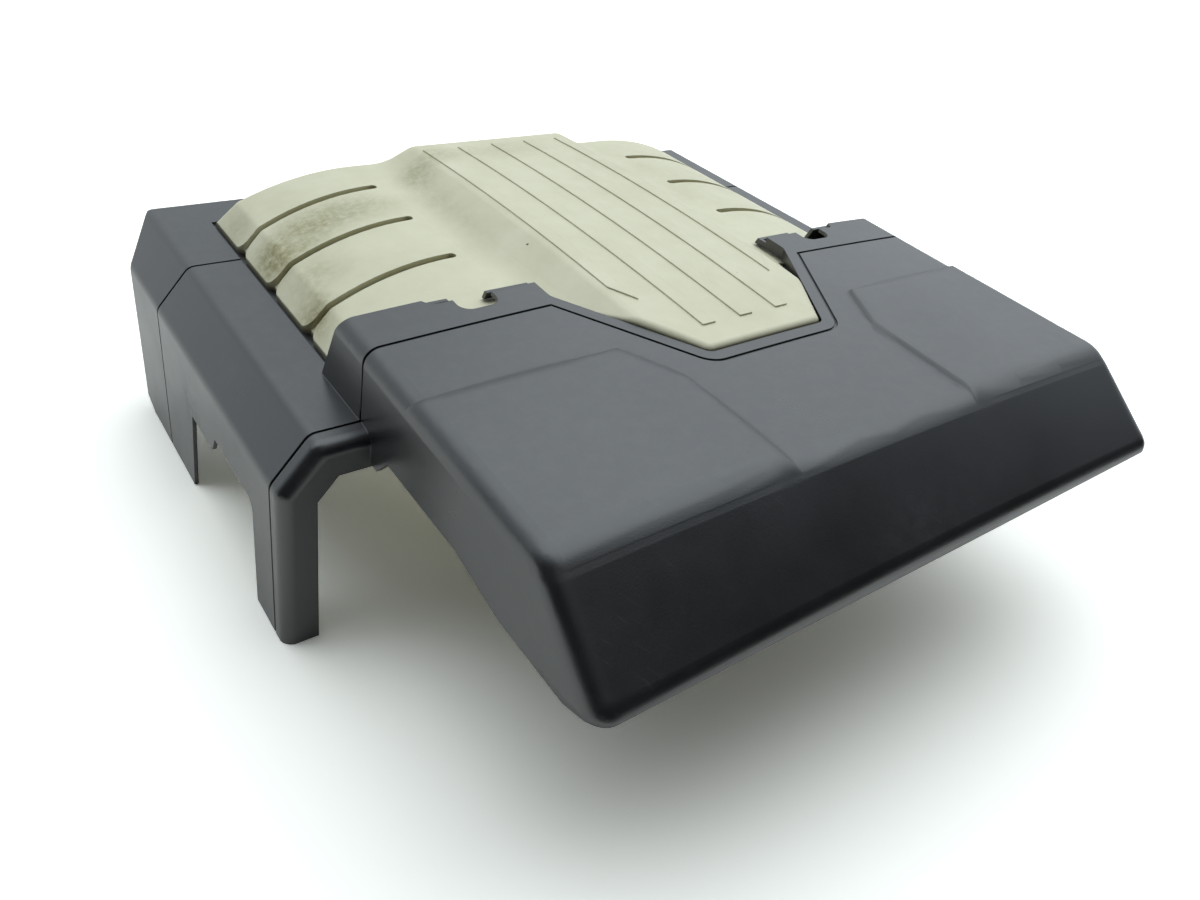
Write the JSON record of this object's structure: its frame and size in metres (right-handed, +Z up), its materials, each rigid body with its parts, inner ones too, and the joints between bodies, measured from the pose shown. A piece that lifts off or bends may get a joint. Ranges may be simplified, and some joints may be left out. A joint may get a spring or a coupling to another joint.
{
  "type": "engine cover",
  "caption": "Moulded engine bay cover with a crowned sloping bonnet, tall open flanks and a pale ribbed centre panel, pushed over ball studs on the engine.",
  "frame": {"origin": "middle of the length and width, on the surface that the legs stand on", "axes": "+X across the car, +Y from the front lip to the rear edge, +Z up"},
  "size_m": [0.637, 0.612, 0.22],
  "materials": {
    "cover_plastic": "fine grained, satin, charcoal",
    "panel_plastic": "satin stone paint over moulded plastic",
    "screw_steel": "zinc plated",
    "grommet_rubber": "matte black"
  },
  "bodies": {
    "root": {"main_cover": "cover_plastic", "centre_panel": "panel_plastic", "panel_screws": "screw_steel", "grommet_front_left": "grommet_rubber", "grommet_front_right": "grommet_rubber", "grommet_rear_left": "grommet_rubber", "grommet_rear_right": "grommet_rubber"}
  },
  "joints": []
}
